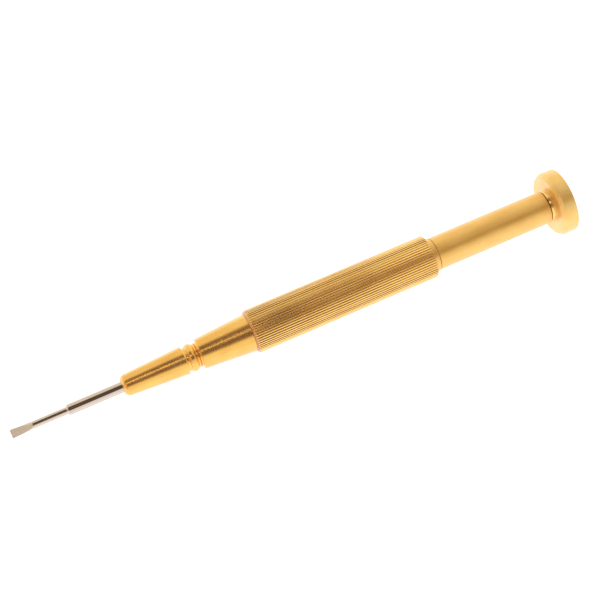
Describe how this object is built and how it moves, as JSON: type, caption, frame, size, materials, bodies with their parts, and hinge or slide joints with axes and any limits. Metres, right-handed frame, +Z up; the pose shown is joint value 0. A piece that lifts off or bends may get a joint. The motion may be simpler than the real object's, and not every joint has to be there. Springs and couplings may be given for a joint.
{
  "type": "watchmaker screwdriver",
  "caption": "Slim precision screwdriver: flat blade in a collet nose, fluted grip, hollow stem for spare blades and a cap that spins on a ball bearing.",
  "frame": {"origin": "middle of the blade's tip edge, on the tool's axis", "axes": "+X along the tool's axis from the blade's tip to the cap, +Z up as the tool lies on a bench"},
  "size_m": [0.108, 0.012, 0.012],
  "materials": {
    "gold_polished": "polished, gold anodised, fine turning marks",
    "gold_fluted": "gold anodised, milled flutes",
    "gold_satin": "satin, gold anodised",
    "gold_cap": "satin, gold anodised",
    "blade_steel": "turned and ground, hardened",
    "bearing_steel": "polished",
    "collet_brass": "turned",
    "washer_plastic": "amber nylon",
    "felt": "pressed wool felt"
  },
  "bodies": {
    "handle": {"front_body": "gold_polished", "grip_sleeve": "gold_fluted", "grip_end_ring": "gold_satin", "store_pad": "felt", "spare_blade_1": "blade_steel", "spare_blade_2": "blade_steel", "spare_blade_3": "blade_steel"},
    "collet": {"collet": "collet_brass"},
    "nose_nut": {"nose_nut": "gold_polished"},
    "blade": {"blade": "blade_steel"},
    "stem_washer": {"stem_washer": "washer_plastic"},
    "stem": {"stem_tube": "gold_satin", "store_plug": "felt", "bearing_outer_ring": "bearing_steel"},
    "ball_cage": {"bearing_cage": "collet_brass", "bearing_balls": "bearing_steel"},
    "cap": {"cap": "gold_cap", "pivot_pin": "bearing_steel", "pivot_clip": "bearing_steel", "pivot_washer": "bearing_steel", "bearing_inner_ring": "bearing_steel"}
  },
  "joints": [
    {"name": "collet_release", "type": "slide", "parent": "handle", "child": "collet", "axis": [-1, 0, 0], "range_m": [0, 0.00035]},
    {"name": "nose_turn", "type": "hinge", "parent": "collet", "child": "nose_nut", "pos_m": [0.0275, 0, 0], "axis": [-1, 0, 0], "range_deg": [0, 360]},
    {"name": "blade_draw", "type": "slide", "parent": "collet", "child": "blade", "axis": [-1, 0, 0], "range_m": [0, 0.0131]},
    {"name": "stem_draw", "type": "slide", "parent": "handle", "child": "stem_washer", "axis": [1, 0, 0], "range_m": [0, 0.004]},
    {"name": "stem_turn", "type": "hinge", "parent": "stem_washer", "child": "stem", "pos_m": [0.0928, 0, 0], "axis": [1, 0, 0], "range_deg": [0, 2880]},
    {"name": "cap_spin", "type": "hinge", "parent": "stem", "child": "cap", "pos_m": [0.10275, 0, 0], "axis": [1, 0, 0], "continuous": true},
    {"name": "cage_orbit", "type": "hinge", "parent": "stem", "child": "ball_cage", "pos_m": [0.10275, 0, 0], "axis": [1, 0, 0], "continuous": true}
  ],
  "couplings": [
    {"joint": "nose_turn", "follows": "collet_release", "rad_per_m": 17952},
    {"joint": "stem_turn", "follows": "stem_draw", "rad_per_m": 12566},
    {"joint": "cage_orbit", "follows": "cap_spin", "ratio": 0.38732}
  ]
}
